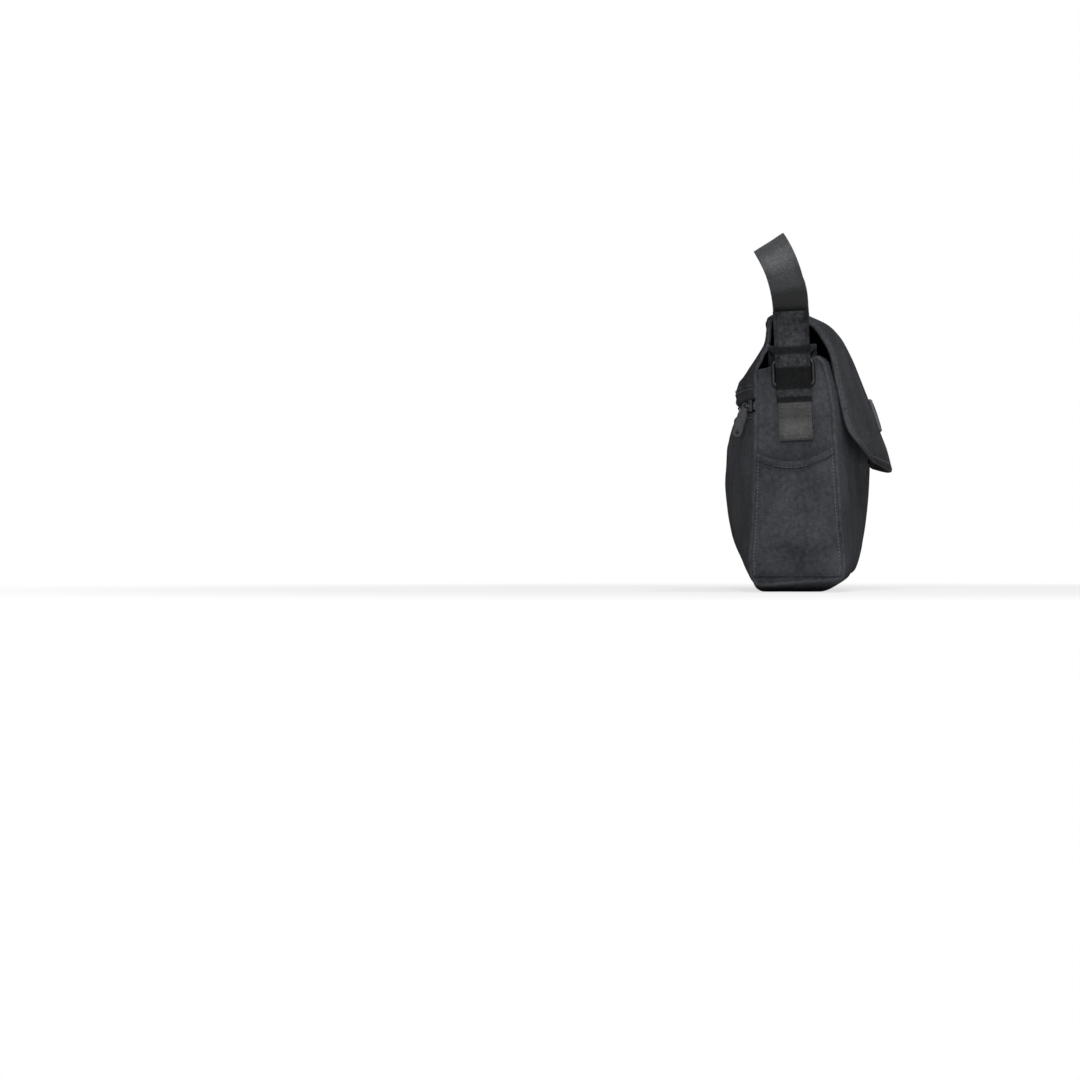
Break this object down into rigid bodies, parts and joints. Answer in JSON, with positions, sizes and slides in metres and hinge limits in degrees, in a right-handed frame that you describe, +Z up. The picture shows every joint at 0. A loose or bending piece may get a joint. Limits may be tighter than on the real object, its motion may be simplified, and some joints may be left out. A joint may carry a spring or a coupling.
{
  "type": "stroller organizer bag",
  "caption": "Soft fabric bag with a front flap, open end pockets, a back zip pocket and two webbing straps that loop over the side arms of a pushchair handle.",
  "frame": {"origin": "on the flat underside of the base, at mid width, under the middle of the opening", "axes": "+X along the bag's width, -Y towards the flap and front, +Z up from the base to the straps"},
  "size_m": [0.383, 0.1191, 0.2439],
  "materials": {
    "bag_fabric": "matt charcoal woven polyester",
    "lining_fabric": "thin black lining cloth",
    "webbing": "near-black nylon webbing with a slight sheen",
    "hook_and_loop": "rough black hook-and-loop tape",
    "label": "plain dark woven patch",
    "zip_tape": "black herringbone zip tape",
    "zip_coil": "black nylon coil",
    "zip_metal": "dark grey lacquered zinc",
    "ring_plastic": "glossy black moulded ring",
    "board": "plain stiff sheet"
  },
  "bodies": {
    "bag": {"gusset_near": "bag_fabric", "gusset_far": "bag_fabric", "front_panel": "bag_fabric", "base_panel": "bag_fabric", "back_panel": "bag_fabric", "back_yoke": "bag_fabric", "side_pocket_near": "bag_fabric", "side_pocket_far": "bag_fabric", "flap_outer": "bag_fabric", "flap_lining": "lining_fabric", "main_lining": "lining_fabric", "zip_pocket_bag": "lining_fabric", "base_board": "board", "label_patch": "label", "flap_hook_patch": "hook_and_loop", "front_loop_patch": "hook_and_loop", "zip_tape_lower": "zip_tape", "zip_tape_upper": "zip_tape", "zip_coil_lower": "zip_coil", "zip_coil_upper": "zip_coil", "zip_stop_start": "zip_metal", "zip_stop_end": "zip_metal", "handle_strap_near": "webbing", "handle_strap_far": "webbing", "closure_strap_near": "webbing", "closure_strap_far": "webbing", "loop_tape_near": "hook_and_loop", "loop_tape_far": "hook_and_loop", "hook_tape_near": "hook_and_loop", "hook_tape_far": "hook_and_loop", "ring_tab_near": "webbing", "ring_tab_far": "webbing", "ring_near": "ring_plastic", "ring_far": "ring_plastic"},
    "slider": {"zip_slider": "zip_metal"},
    "pull": {"zip_pull": "zip_metal"}
  },
  "joints": [
    {"name": "zip_travel", "type": "hinge", "parent": "bag", "child": "slider", "pos_m": [0, -0.78053, 0.127], "axis": [0, 0, -1], "range_deg": [0, 20.5]},
    {"name": "pull_swing", "type": "hinge", "parent": "slider", "child": "pull", "pos_m": [-0.14856, 0.03754, 0.127], "axis": [0.9839, 0.1787, 0], "range_deg": [0, 138]}
  ]
}
